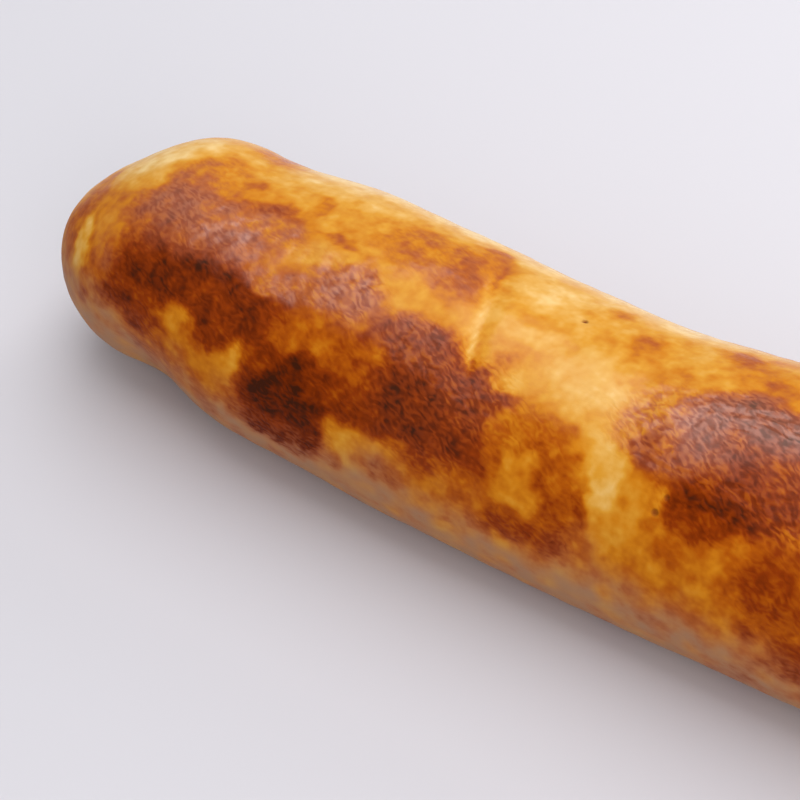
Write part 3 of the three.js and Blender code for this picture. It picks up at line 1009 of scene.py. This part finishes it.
@dataclass(frozen=True)
class CrustFinish:
    """The baked crust: browning by level, mottled, finely wrinkled and shiny on top, with sheen
    and shade partly painted into its colour.

    Scales are noise cells in a metre. Levels are bake levels, between which something changes.
    """

    mottle_scale: float = 230.0
    mottle: float = 0.10
    fleck_scale: float = 420.0
    fleck: float = 0.06
    painted_valley_shade: float = 0.19  # painted shade: how much browner the valleys between wrinkles are coloured, and paler the ridges
    valley_shine: float = 0.5  # how much less they shine
    # painted shade: the low band's colour is pale dough darkened and greyed to stand in for the shade
    # near the floor
    shaded_band_colour: Colour = (0.39, 0.208, 0.118)
    band_strength: float = 0.9
    band_levels: Span = (0.50, 0.88)  # where the band's colour gives way to browned crust
    painted_sheen_colour: Colour = (0.62, 0.30, 0.19)  # painted sheen: the light's warm reflection on browned, glossy ridges, painted into the colour
    painted_sheen: float = 0.27
    painted_sheen_levels: Span = (0.45, 0.65)
    valley_sheen_share: float = 0.6  # the share of the painted sheen in the valleys
    # painted shade: the pinholes' dark colour stands in for the shade inside them
    pit_shade_colour: Colour = (0.24, 0.05, 0.008)
    pit_depth: float = 0.4 * MM
    roughness: Span = (0.5, 0.38)  # of golden and of browned crust
    roughness_levels: Span = (0.3, 0.8)
    coat_roughness: float = 0.17
    coat_ior: float = 1.7
    coat: Span = (0.56, 0.92)  # its weakest and strongest weight where the skin is glossy
    coat_noise: Span = (-0.6, 0.2)  # the noise at which it has them
    specular: float = 0.03
    grain_scale: float = 1100.0
    grain_height: float = 0.04 * MM
    smooth_grain: float = 0.4  # the share of that height where the skin isn't wrinkled
    worm_scale: float = 1250.0
    worm_turn: Span = (-24.0, 12.0)  # degrees towards the -Y side, and downwards
    worm_stretch: float = 2.3
    worm_wander: float = 2.6 * MM
    worm_height: float = 0.095 * MM

    def build(self, pits: list[tuple[Array, float]]) -> bpy.types.Material:
        """Make the material.

        Args:
            pits: the centre and radius of each pinhole, in metres.

        Returns:
            The crust's material.
        """
        material = bpy.data.materials.new("baked_crust")
        material.use_nodes = True
        bench = NodeBench(material.node_tree)
        given = {
            name: bench.add("ShaderNodeAttribute", attribute_name=name).outputs["Fac"]
            for name in ("bake", "crinkle", "gloss_and_sheen", "shaded_pale_band")
        }
        given["place"] = bench.add("ShaderNodeTexCoord").outputs["Object"]
        given["wrinkle"] = self.worms(bench, given["place"])
        given["holes"] = self.pit_mask(bench, given["place"], pits)
        given["level"] = self.mottled_level(bench, given)
        shader = bench.add(
            "ShaderNodeBsdfPrincipled",
            {
                "Base Color": self.colour(bench, given),
                "Roughness": bench.span(given["level"], self.roughness_levels, self.roughness),
                "Specular IOR Level": self.specular,
                "Coat Weight": self.shine(bench, given),
                "Coat Roughness": self.coat_roughness,
                "Coat IOR": self.coat_ior,
                "Normal": self.normal(bench, given),
            },
        )
        bench.add("ShaderNodeOutputMaterial", {"Surface": shader.outputs["BSDF"]})
        return material

    def worms(self, bench: NodeBench, place: Socket) -> Socket:
        """Place the group of worm-like wrinkles.

        Args:
            bench: where the nodes go.
            place: the place on the roll, in metres.

        Returns:
            The wrinkles' ridges, from 0 to 1.
        """
        lean, dip = (math.radians(turn) for turn in self.worm_turn)
        wanted = {
            "Vector": place,
            "Turn": (0.0, dip, lean),
            "Stretch": (self.worm_stretch, 1.0, 1.0),
            "Scale": self.worm_scale,
            "Wander": self.worm_wander,
        }
        return bench.add("ShaderNodeGroup", wanted, node_tree=worm_group()).outputs["Ridge"]

    def pit_mask(self, bench: NodeBench, place: Socket, pits: list[tuple[Array, float]]) -> Socket:
        """Join the masks of all the pinholes by their largest value.

        Args:
            bench: where the nodes go.
            place: the place on the roll, in metres.
            pits: the centre and radius of each pinhole, in metres.

        Returns:
            1 in a pinhole, 0 elsewhere.
        """
        group = pit_group()
        joined = None
        for centre, radius in pits:
            wanted = {"Vector": place, "Centre": tuple(centre), "Radius": radius}
            mask = bench.add("ShaderNodeGroup", wanted, node_tree=group).outputs["Mask"]
            joined = mask if joined is None else bench.maths("MAXIMUM", joined, mask)
        return joined

    def mottled_level(self, bench: NodeBench, given: dict[str, Socket]) -> Socket:
        """Add mottling, flecks and the painted shade of the valleys between wrinkles, with paler
        ridges, to the painted level.

        Args:
            bench: where the nodes go.
            given: the place, the painted fields, the wrinkles and the pinholes' mask.

        Returns:
            How far the crust browned.
        """
        mottle = bench.noise(given["place"], self.mottle_scale, 2.0)
        level = bench.maths("MULTIPLY_ADD", mottle, self.mottle, given["bake"])
        fleck = bench.noise(given["place"], self.fleck_scale, 1.0)
        level = bench.maths("MULTIPLY_ADD", fleck, self.fleck, level)
        # painted shade: valleys between wrinkles get a browner level and ridges a paler one
        valley_shading = bench.maths("SUBTRACT", 0.5, given["wrinkle"])
        valley_shading = bench.maths("MULTIPLY", valley_shading, given["crinkle"])
        return bench.maths("MULTIPLY_ADD", valley_shading, self.painted_valley_shade, level)

    def colour(self, bench: NodeBench, given: dict[str, Socket]) -> Socket:
        """Colour the crust by its level, with a painted sheen where it is browned and shiny.

        The low band fades to dough darkened by painted shade, and pinholes are painted dark as shade.

        Args:
            bench: where the nodes go.
            given: the same sockets as for the level, and the level itself.

        Returns:
            The crust's colour.
        """
        ramp_node = bench.add("ShaderNodeValToRGB", {"Fac": given["level"]})
        stops = ramp_node.color_ramp.elements
        tones = [tone.value for tone in BakeTone]
        stops[0].position, stops[1].position = tones[0][0], tones[-1][0]
        stops[0].color, stops[1].color = (*tones[0][1], 1), (*tones[-1][1], 1)
        for position, shade in tones[1:-1]:
            stops.new(position).color = (*shade, 1)
        # painted sheen: glossy, browned ridges are tinted pinkish to stand in for the light's
        # reflection
        ridges = bench.span(given["wrinkle"], (0.0, 1.0), (self.valley_sheen_share, 1.0))
        glossy = bench.maths("MULTIPLY", given["gloss_and_sheen"], ridges)
        browned = bench.span(given["level"], self.painted_sheen_levels, (0.0, self.painted_sheen))
        painted_sheen = bench.maths("MULTIPLY", glossy, browned)
        with_painted_sheen = bench.mix(painted_sheen, ramp_node.outputs["Color"], self.painted_sheen_colour)
        # painted shade: the low band takes a darkened, greyed dough colour
        band_shade_share = bench.span(given["level"], self.band_levels, (self.band_strength, 0.0))
        with_band_shade = bench.mix(bench.maths("MULTIPLY", given["shaded_pale_band"], band_shade_share), with_painted_sheen, self.shaded_band_colour)
        # painted shade: the pinholes are coloured dark
        return bench.mix(given["holes"], with_band_shade, self.pit_shade_colour)

    def shine(self, bench: NodeBench, given: dict[str, Socket]) -> Socket:
        """Make the coat: strong on the tops of wrinkles, weak in their valleys, none in pinholes.

        Args:
            bench: where the nodes go.
            given: the same sockets as for the colour.

        Returns:
            The coat's weight.
        """
        noise = bench.noise(given["place"], self.mottle_scale, 3.0)
        patchy = bench.span(noise, self.coat_noise, self.coat)
        below = bench.maths("SUBTRACT", 1.0, given["wrinkle"])
        valleys = bench.maths("MULTIPLY", given["crinkle"], below)
        tops = bench.maths("MULTIPLY_ADD", valleys, -self.valley_shine, 1.0)
        shine = bench.maths("MULTIPLY", bench.maths("MULTIPLY", given["gloss_and_sheen"], tops), patchy)
        return bench.maths("MULTIPLY", shine, bench.maths("SUBTRACT", 1.0, given["holes"]))

    def normal(self, bench: NodeBench, given: dict[str, Socket]) -> Socket:
        """Raise the wrinkles and a fine grain, and sink the pinholes.

        Args:
            bench: where the nodes go.
            given: the same sockets as for the colour.

        Returns:
            The bumpy surface's normal.
        """
        grain = bench.noise(given["place"], self.grain_scale, 1.0)
        heights = (self.smooth_grain * self.grain_height, self.grain_height)
        strength = bench.span(given["crinkle"], (0.0, 1.0), heights)
        height = bench.maths("MULTIPLY", grain, strength)
        ridge = bench.maths("MULTIPLY", given["wrinkle"], given["crinkle"])
        height = bench.maths("MULTIPLY_ADD", ridge, self.worm_height, height)
        height = bench.maths("MULTIPLY_ADD", given["holes"], -self.pit_depth, height)
        bump = bench.add("ShaderNodeBump", {"Height": height, "Distance": 1.0, "Strength": 1.0})
        return bump.outputs["Normal"]


@dataclass
class WrinkleField:
    """Short winding wrinkles, all leaning one way, as on skin that dried and shrank."""

    size: float = 1.35  # millimetres, a good third of the distance between two wrinkles
    stretch: float = 2.2
    lean: float = -24.0  # degrees from the roll's length towards the -Y side
    dip: float = 12.0  # degrees downwards
    levels: Span = (-0.30, 0.32)  # the noise at which a ridge begins to rise, and is whole
    pattern: int = 17
    wander_size: float = 5.0
    wander: float = 1.1
    wander_pattern: int = 131
    wander_stride: int = 5  # to the next axis's pattern

    def height(self, points: Array) -> Array:
        """Work out the wrinkles' height.

        Points wander by slow noise and are measured along and across the wrinkles. The length
        along is shortened by the stretch, and noise of the result, lifted smoothly between two
        levels, gives long rounded ridges.

        Args:
            points: the skin's points in millimetres.

        Returns:
            0 in the valleys and 1 on the ridges.
        """
        lean, dip = math.radians(self.lean), math.radians(self.dip)
        level = math.cos(dip)
        forward = np.array([math.cos(lean) * level, math.sin(lean) * level, -math.sin(dip)])
        patterns = (self.wander_pattern + self.wander_stride * axis for axis in range(3))
        drift = [self.wander * smooth_noise(points / self.wander_size, pattern) for pattern in patterns]
        moved = points + np.stack(drift, axis=1)
        along = moved @ forward
        shortened = moved - forward * (along * (1 - 1 / self.stretch))[:, None]
        return ramp(smooth_noise(shortened / self.size, self.pattern), *self.levels)


@dataclass
class BakedRoll:
    """The whole roll: one closed skin with its relief, browning and finish."""

    form: RollForm = field(default_factory=RollForm)
    finish: CrustFinish = field(default_factory=CrustFinish)
    wrinkles: WrinkleField = field(default_factory=WrinkleField)
    stations: int = 342
    sides: int = 290
    crown_share: float = 0.36  # how much closer together the lines lie on the crown
    pebble: tuple[Span, ...] = ((6.5, 0.13), (3.1, 0.07))  # sizes and heights
    pebble_pattern: int = 61
    wrinkle_height: float = 0.22
    pit_depth: float = 0.5

    def net(self) -> tuple[Array, Array]:
        """Lay the net of the skin: rings of points, closer together on the crown, and two tips.

        The angle of a ring's point is its share of the turn less a share of that turn's sine.

        Returns:
            The path share and the angle of each point: the rings in order, then the tips.
        """
        turn = np.arange(self.sides) / self.sides * 2 * math.pi
        angle = turn - self.crown_share * np.sin(turn)
        angle = (angle + math.pi) % (2 * math.pi) - math.pi
        path = np.arange(1, self.stations) / self.stations
        grid_path, grid_angle = np.meshgrid(path, angle, indexing="ij")
        return np.append(grid_path.ravel(), [0.0, 1.0]), np.append(grid_angle.ravel(), [0.0, 0.0])

    def faces(self) -> tuple[Array, Array]:
        """Join the net: four-sided faces between rings, and a fan of triangles at each tip.

        Returns:
            The four-sided faces and the triangles, as rows of point numbers.
        """
        rings = self.stations - 1
        column = np.arange(self.sides)
        beside = (column + 1) % self.sides
        start = np.arange(rings - 1)[:, None] * self.sides
        after = start + self.sides
        corners = (start + column, start + beside, after + beside, after + column)
        quads = np.stack([corner.ravel() for corner in corners], axis=1)[:, ::-1]
        left = np.stack([np.full(self.sides, rings * self.sides), beside, column], axis=1)
        last = (rings - 1) * self.sides
        tip = np.full(self.sides, rings * self.sides + 1)
        right = np.stack([tip, last + column, last + beside], axis=1)
        return quads, np.concatenate([left, right])[:, ::-1]

    def pits(self) -> list[tuple[Array, float]]:
        """Give each pinhole's point on the skin, in millimetres, and its radius."""
        return [(self.form.skin_spot(pit.along, pit.around), pit.radius) for pit in PINHOLES]

    def fine_relief(self, points: Array, crinkle: Array) -> Array:
        """Add the pebbling of the dough and the wrinkles of browned skin, less the pits.

        Args:
            points: the skin's points in millimetres.
            crinkle: how wrinkled it is.

        Returns:
            Heights in millimetres.
        """
        height = self.wrinkle_height * crinkle * (self.wrinkles.height(points) - 0.5)
        for layer, (size, rise) in enumerate(self.pebble):
            height += rise * smooth_noise(points / size, self.pebble_pattern + layer)
        for centre, radius in self.pits():
            distance = np.linalg.norm(points - centre, axis=1) / radius
            height -= self.pit_depth * np.exp(-(distance**2))
        return height

    def move_to_frame(self, points: Array) -> Array:
        """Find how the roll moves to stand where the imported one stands.

        Args:
            points: the skin's points in millimetres, set down but without its fine relief.

        Returns:
            The move in millimetres: from middle to middle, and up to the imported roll's underside.
        """
        low, high = (np.array(corner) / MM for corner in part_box(NODE))
        move = (low + high) / 2 - (points.min(axis=0) + points.max(axis=0)) / 2
        move[2] = low[2]
        return move

    def mesh(self, points: Array, fields: dict[str, Array]) -> bpy.types.Mesh:
        """Make the smooth mesh, with the painted fields on its points.

        Args:
            points: the net's points in metres.
            fields: a number for each point, by the field's name.

        Returns:
            The mesh.
        """
        quads, triangles = self.faces()
        mesh = bpy.data.meshes.new("roll_skin")
        mesh.from_pydata(points, [], [*quads.tolist(), *triangles.tolist()])
        for name, values in fields.items():
            layer = mesh.attributes.new(name, "FLOAT", "POINT")
            layer.data.foreach_set("value", values.astype(np.float32))
        mesh.polygons.foreach_set("use_smooth", np.ones(len(mesh.polygons), bool))
        mesh.update()
        return mesh

    def build(self) -> bpy.types.Object:
        """Build the roll and dress it.

        Returns:
            The finished piece.
        """
        t, angle = self.net()
        skin = self.form.skin(t, angle)
        broad = self.form.set_down(skin)
        fields = CrustBake(self.form).paint(broad, angle)
        fine = self.fine_relief(skin, fields["crinkle"])
        move = self.move_to_frame(broad)
        points = self.form.set_down(skin + self.form.outward(t, angle) * fine[:, None]) + move
        mesh = self.mesh(points * MM, fields)
        pits = [((centre + move) * MM, radius * MM) for centre, radius in self.pits()]
        mesh.materials.append(self.finish.build(pits))
        roll = bpy.data.objects.new("roll_crust", mesh)
        bpy.context.scene.collection.objects.link(roll)
        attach(roll, "root")
        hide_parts(NODE)
        return roll


# ---- The studio --------------------------------------------------------------------------------


@dataclass(frozen=True)
class SoftLight:
    """A large soft light: its place, the point it faces and its two sizes, all in metres."""

    name: str
    place: Point
    faces: Point
    width: float
    depth: float
    radiance: float
    colour: Colour = (1.0, 0.985, 1.0)

    def build(self) -> bpy.types.Object:
        """Hang the light. A panel of that area and radiance needs pi times both in watts.

        Returns:
            The light, which the camera doesn't see.
        """
        lamp = bpy.data.lights.new(self.name, "AREA")
        lamp.shape = "RECTANGLE"
        lamp.size, lamp.size_y = self.width, self.depth
        lamp.energy = self.radiance * math.pi * self.width * self.depth
        lamp.color = self.colour
        light = bpy.data.objects.new(self.name, lamp)
        light.location = self.place
        aim = Vector(self.faces) - Vector(self.place)
        light.rotation_euler = aim.to_track_quat("-Z", "Y").to_euler()
        light.visible_camera = False
        bpy.context.scene.collection.objects.link(light)
        return light


@dataclass
class Studio:
    """A pale floor, three large soft lights and the camera at the photograph's angle.

    Sizes and distances are metres, and the camera's two angles are degrees.
    """

    floor_size: float = 6.0
    floor_colour: Colour = (0.70, 0.672, 0.70)
    floor_roughness: float = 0.7
    lights: tuple[SoftLight, ...] = (
        SoftLight("overhead_softbox", (-0.15, 0.29, 1.12), (-0.15, 0.29, 0.0), 1.0, 1.42, 2.2),
        SoftLight("side_softbox", (0.68, -0.60, 0.62), (0.0, 0.0, 0.0), 0.9, 0.9, 2.1),
        SoftLight("back_softbox", (0.30, 0.62, 0.36), (0.05, 0.05, 0.0), 0.7, 0.4, 2.3),
    )
    sky_colour: Colour = (0.84, 0.94, 1.0)
    sky_strength: float = 0.35
    azimuth: float = 32.2
    elevation: float = 45.0
    distance: float = 0.55
    target: Point = (-0.04916, -0.0133, 0.0290)
    pixel: float = 0.2214 * MM  # what a pixel of the photograph takes in at the target
    pixels_across: int = 800
    sensor_width: float = 36.0  # millimetres
    clip: Span = (0.01, 50)

    def floor(self) -> bpy.types.Object:
        """Lay the floor that the roll stands on.

        Returns:
            The floor.
        """
        half = self.floor_size / 2
        corners = [(-half, -half, 0), (half, -half, 0), (half, half, 0), (-half, half, 0)]
        mesh = bpy.data.meshes.new("floor")
        mesh.from_pydata(corners, [], [(0, 1, 2, 3)])
        material = bpy.data.materials.new("pale_floor")
        material.use_nodes = True
        bench = NodeBench(material.node_tree)
        look = {"Base Color": (*self.floor_colour, 1), "Roughness": self.floor_roughness}
        shader = bench.add("ShaderNodeBsdfPrincipled", look)
        bench.add("ShaderNodeOutputMaterial", {"Surface": shader.outputs["BSDF"]})
        mesh.materials.append(material)
        floor = bpy.data.objects.new("floor", mesh)
        bpy.context.scene.collection.objects.link(floor)
        return floor

    def sky(self) -> None:
        """Fill the shadows from an even pale surround."""
        world = bpy.data.worlds.new("surround")
        world.use_nodes = True
        bench = NodeBench(world.node_tree)
        look = {"Color": (*self.sky_colour, 1), "Strength": self.sky_strength}
        shader = bench.add("ShaderNodeBackground", look)
        bench.add("ShaderNodeOutputWorld", {"Surface": shader.outputs["Background"]})
        bpy.context.scene.world = world

    def camera(self) -> bpy.types.Object:
        """Set up the camera, level, looking at the target from the azimuth and elevation.

        Returns:
            The camera, which the scene then uses.
        """
        azimuth, elevation = math.radians(self.azimuth), math.radians(self.elevation)
        level = math.cos(elevation)
        back = Vector((math.sin(azimuth) * level, -math.cos(azimuth) * level, math.sin(elevation)))
        data = bpy.data.cameras.new("camera")
        data.sensor_width = self.sensor_width
        data.lens = self.sensor_width * self.distance / (self.pixel * self.pixels_across)
        data.clip_start, data.clip_end = self.clip
        camera = bpy.data.objects.new("camera", data)
        camera.location = Vector(self.target) + back * self.distance
        camera.rotation_euler = back.to_track_quat("Z", "Y").to_euler()
        bpy.context.scene.collection.objects.link(camera)
        bpy.context.scene.camera = camera
        return camera

    def build(self) -> None:
        """Build the whole studio, with colours shown as they are."""
        self.camera()
        self.floor()
        for light in self.lights:
            light.build()
        self.sky()
        bpy.context.scene.view_settings.view_transform = "Standard"


def main() -> None:
    """Build the studio and the roll."""
    logging.basicConfig(level=logging.INFO, format="%(message)s")
    Studio().build()
    log.info("studio: floor, three soft lights, surround and camera")
    roll = BakedRoll().build()
    log.info("%s: %d points, %d faces", roll.name, len(roll.data.vertices), len(roll.data.polygons))


if __name__ == "__main__":
    main()
